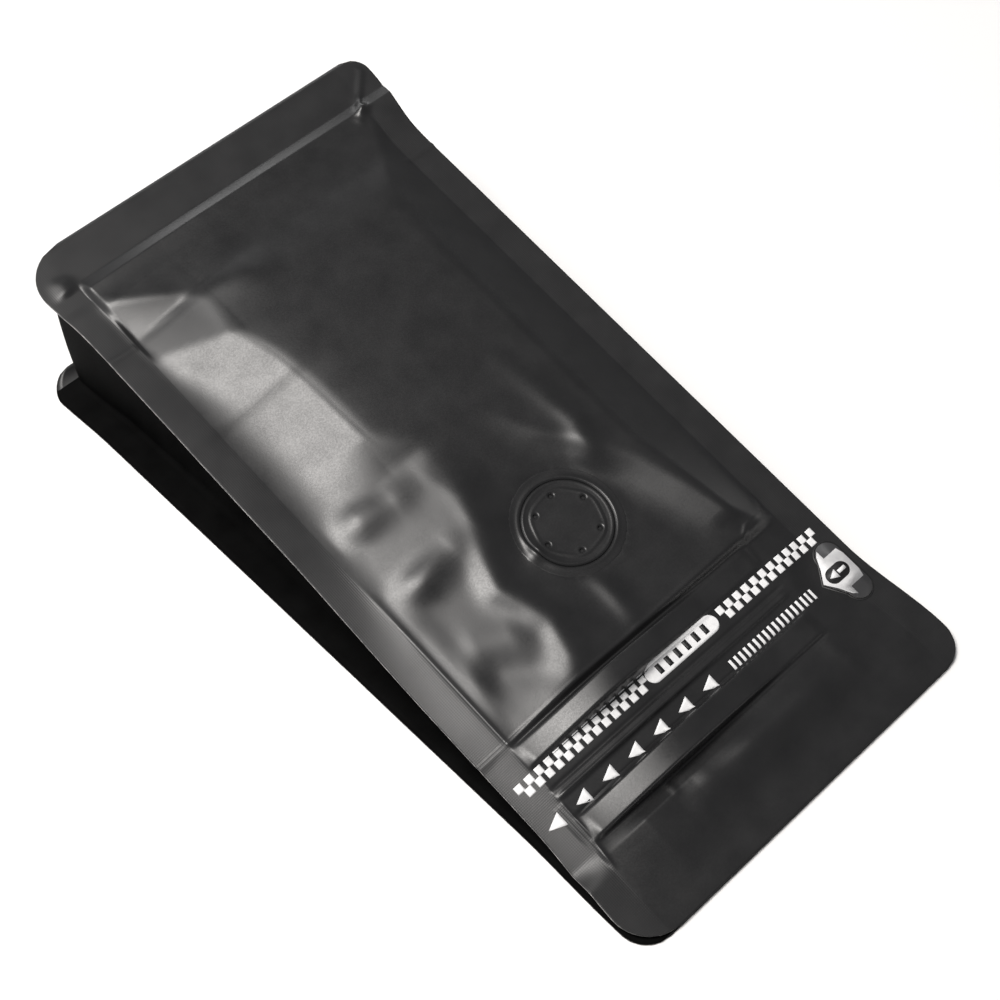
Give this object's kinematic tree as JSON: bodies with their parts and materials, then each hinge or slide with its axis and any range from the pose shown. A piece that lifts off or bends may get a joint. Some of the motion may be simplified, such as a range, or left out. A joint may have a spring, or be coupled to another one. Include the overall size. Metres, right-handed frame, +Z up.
{
  "type": "foil stand-up pouch",
  "caption": "Flat-bottomed matt black coffee pouch with side gussets, degassing valve, press zipper and pull tab, lying on its back.",
  "frame": {"origin": "on the floor under the middle of the pouch's bounding box", "axes": "+Z up, out of the front panel's side; +Y from the opening to the bottom end; +X across the pouch, towards the pull tab"},
  "size_m": [0.1, 0.2046, 0.0489],
  "materials": {
    "film": "matt black laminated film with a soft sheen, crosshatched at its seals",
    "valve": "matt black film pressed over the valve disc",
    "tab": "white print on matt black film"
  },
  "bodies": {
    "root": {"pouch": "film", "valve": "valve", "pull_tab": "tab"}
  },
  "joints": []
}
